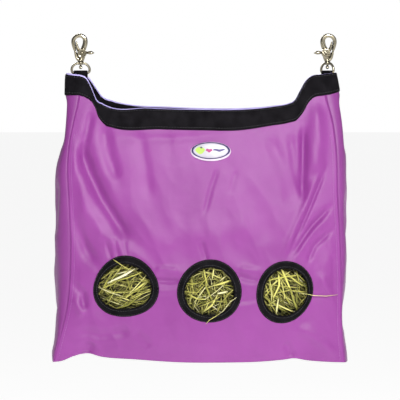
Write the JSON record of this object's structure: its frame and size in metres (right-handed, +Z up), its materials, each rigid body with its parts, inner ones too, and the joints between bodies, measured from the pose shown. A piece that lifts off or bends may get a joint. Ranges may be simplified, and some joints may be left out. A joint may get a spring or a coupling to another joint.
{
  "type": "hay bag",
  "caption": "Flat-hanging fabric hay bag with round bound feed holes in the front, webbing round the rim and a swivelling trigger snap at each shoulder.",
  "frame": {"origin": "middle of the underside of the base, under the middle of the bag's depth", "axes": "+X to the bag's right as seen from the front, +Y from the feed holes towards the back, +Z up"},
  "size_m": [0.532, 0.1544, 0.5886],
  "materials": {
    "purple_nylon": "plain woven nylon, slight sheen",
    "black_webbing": "ribbed webbing and binding",
    "badge_rubber": "moulded, satin",
    "badge_print": null,
    "nickel_plate": "cast and nickel plated, polished",
    "spring_steel": "bright drawn wire",
    "hay": "dry cut grass stalks"
  },
  "bodies": {
    "bag": {"front_panel": "purple_nylon", "back_panel": "purple_nylon", "left_gusset": "purple_nylon", "right_gusset": "purple_nylon", "base_panel": "purple_nylon", "outer_rim_webbing": "black_webbing", "inner_rim_webbing": "black_webbing", "left_feed_ring": "black_webbing", "middle_feed_ring": "black_webbing", "right_feed_ring": "black_webbing", "badge_base": "badge_rubber", "badge_face": "badge_print", "hay_fill": "hay", "left_hanger_tab": "black_webbing", "right_hanger_tab": "black_webbing"},
    "left_eye": {"left_swivel_eye": "nickel_plate"},
    "left_hook": {"left_hook_body": "nickel_plate", "left_gate_rivet": "nickel_plate", "left_gate_spring": "spring_steel"},
    "left_gate": {"left_gate": "nickel_plate"},
    "right_eye": {"right_swivel_eye": "nickel_plate"},
    "right_hook": {"right_hook_body": "nickel_plate", "right_gate_rivet": "nickel_plate", "right_gate_spring": "spring_steel"},
    "right_gate": {"right_gate": "nickel_plate"}
  },
  "joints": [
    {"name": "left_eye_tilt", "type": "hinge", "parent": "bag", "child": "left_eye", "pos_m": [-0.217, 0.00125, 0.518], "axis": [0.9903, 0.1392, 0], "range_deg": [-80, 80]},
    {"name": "left_hook_swivel", "type": "hinge", "parent": "left_eye", "child": "left_hook", "pos_m": [-0.217, 0.00125, 0.54], "axis": [0, 0, 1], "continuous": true},
    {"name": "left_gate_open", "type": "hinge", "parent": "left_hook", "child": "left_gate", "pos_m": [-0.2145, 0.00125, 0.5533], "axis": [0, 1, 0], "range_deg": [0, 32], "stiffness_Nm_per_rad": 0.03, "springref_deg": -20.05},
    {"name": "right_eye_tilt", "type": "hinge", "parent": "bag", "child": "right_eye", "pos_m": [0.226, 0.00125, 0.518], "axis": [0.6428, -0.766, 0], "range_deg": [-80, 80]},
    {"name": "right_hook_swivel", "type": "hinge", "parent": "right_eye", "child": "right_hook", "pos_m": [0.226, 0.00125, 0.54], "axis": [0, 0, 1], "continuous": true},
    {"name": "right_gate_open", "type": "hinge", "parent": "right_hook", "child": "right_gate", "pos_m": [0.2235, 0.00125, 0.5533], "axis": [0, -1, 0], "range_deg": [0, 32], "stiffness_Nm_per_rad": 0.03, "springref_deg": -20.05}
  ]
}
